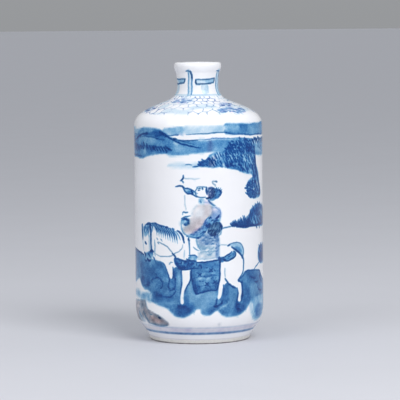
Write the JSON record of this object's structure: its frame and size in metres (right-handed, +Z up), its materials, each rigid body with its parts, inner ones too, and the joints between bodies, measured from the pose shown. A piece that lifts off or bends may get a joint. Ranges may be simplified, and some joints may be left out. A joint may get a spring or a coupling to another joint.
{
  "type": "snuff bottle",
  "caption": "Small hollow cylindrical porcelain bottle for powdered snuff, with a foot ring, round shoulder, short neck and rolled lip, painted in underglaze blue with a rider in a landscape.",
  "frame": {"origin": "middle of the foot ring's underside, on the surface that the bottle stands on", "axes": "+Z up along the bottle's axis, -Y towards the painted front with the rider, +X to the right as that front is faced"},
  "size_m": [0.0394, 0.0394, 0.085],
  "materials": {
    "glaze": "clear glossy glaze over white porcelain, painted under the glaze in cobalt blue with touches of brownish red; bare matt biscuit on the foot ring's bottom edge"
  },
  "bodies": {
    "root": {"bottle": "glaze"}
  },
  "joints": []
}
